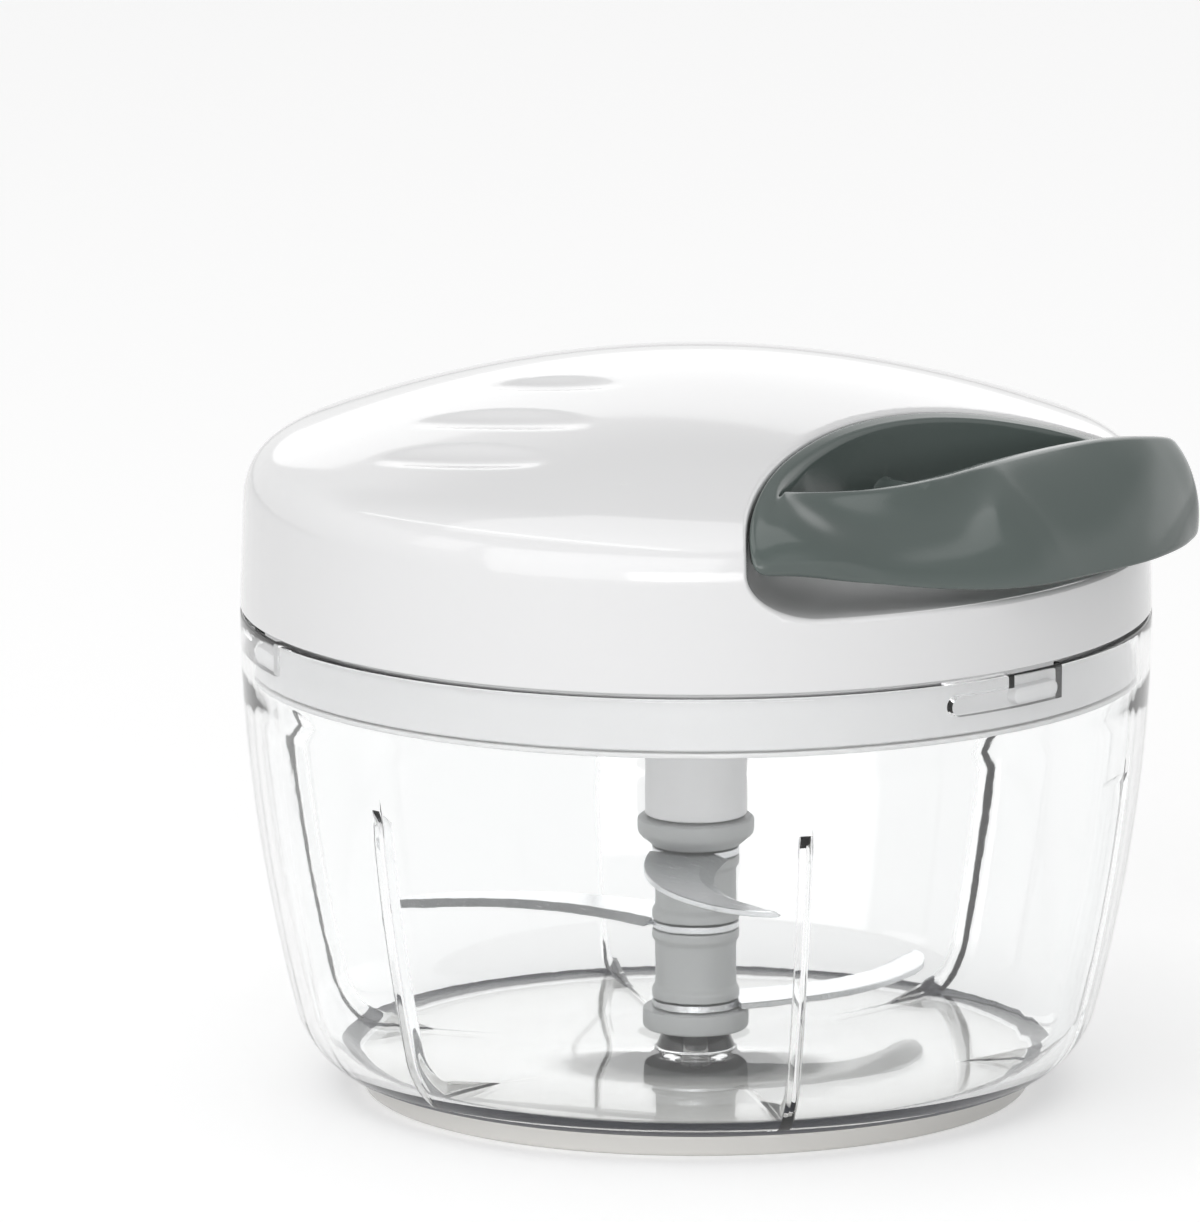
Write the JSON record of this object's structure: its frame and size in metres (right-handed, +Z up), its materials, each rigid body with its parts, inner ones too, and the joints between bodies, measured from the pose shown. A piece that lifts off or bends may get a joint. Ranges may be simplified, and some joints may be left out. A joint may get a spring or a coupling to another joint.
{
  "type": "pull-cord food chopper",
  "caption": "Hand-held food chopper: clear round bowl with ribs, domed twist-on lid with a cord drum and recoil spring, a D-shaped pull handle and curved blades on a centre pin.",
  "frame": {"origin": "centre of the flat underside of the non-slip base", "axes": "+Z up along the bowl's axis, +X the way the handle is pulled"},
  "size_m": [0.1487, 0.1458, 0.1182],
  "materials": {
    "clear_plastic": "clear, polished",
    "base_rubber": "creamy white, satin",
    "cover_white": "white, high gloss",
    "lid_grey": "light grey, satin",
    "hub_grey": "mid grey, satin",
    "handle_grey": "slate grey, gloss",
    "seal_silicone": "soft, matte",
    "drum_plastic": "natural white, satin",
    "steel": "stainless, fine ground",
    "spring_steel": "blued strip",
    "cord": "braided nylon"
  },
  "bodies": {
    "bowl": {"bowl": "clear_plastic", "blade_pin": "steel", "anti_slip_base": "base_rubber"},
    "seal": {"lid_seal": "seal_silicone"},
    "lid": {"lid_base": "lid_grey", "top_cover": "cover_white", "spring_arbor": "steel", "recoil_spring": "spring_steel", "cord_guide": "steel", "cord_lead": "cord", "cover_screw_1": "steel", "cover_screw_2": "steel", "cover_screw_3": "steel", "cover_screw_4": "steel", "cover_screw_5": "steel"},
    "drum": {"cord_drum": "drum_plastic", "drive_shaft": "hub_grey", "cord_winding": "cord", "bearing_washer": "steel", "spring_cover": "drum_plastic"},
    "handle": {"pull_handle": "handle_grey", "knot_cap": "handle_grey", "cord_knot": "cord", "cord_tail": "cord"},
    "blades": {"blade_stem": "hub_grey", "blade_low": "steel", "blade_mid": "steel", "blade_high": "steel", "blade_spacer_1": "hub_grey", "blade_spacer_2": "hub_grey", "blade_hub_head": "hub_grey"}
  },
  "joints": [
    {"name": "lid_lift", "type": "slide", "parent": "bowl", "child": "seal", "axis": [0, 0, 1], "range_m": [0, 0.12]},
    {"name": "lid_twist", "type": "hinge", "parent": "seal", "child": "lid", "pos_m": [0, 0, 0.074], "axis": [0, 0, -1], "range_deg": [0, 10]},
    {"name": "handle_pull", "type": "slide", "parent": "lid", "child": "handle", "axis": [1, 0, 0], "range_m": [0, 0.4], "stiffness_N_per_m": 20, "springref_m": -0.25, "deforming": ["cord_tail"]},
    {"name": "drum_spin", "type": "hinge", "parent": "lid", "child": "drum", "pos_m": [0, 0, 0.0899], "axis": [0, 0, 1], "range_deg": [0, 1150], "deforming": ["cord_winding", "recoil_spring"]},
    {"name": "blade_spin", "type": "hinge", "parent": "bowl", "child": "blades", "pos_m": [0, 0, 0.0094], "axis": [0, 0, 1], "range_deg": [0, 1150]}
  ],
  "couplings": [
    {"joint": "drum_spin", "follows": "handle_pull", "rad_per_m": 50},
    {"joint": "blade_spin", "follows": "handle_pull", "rad_per_m": 50}
  ]
}
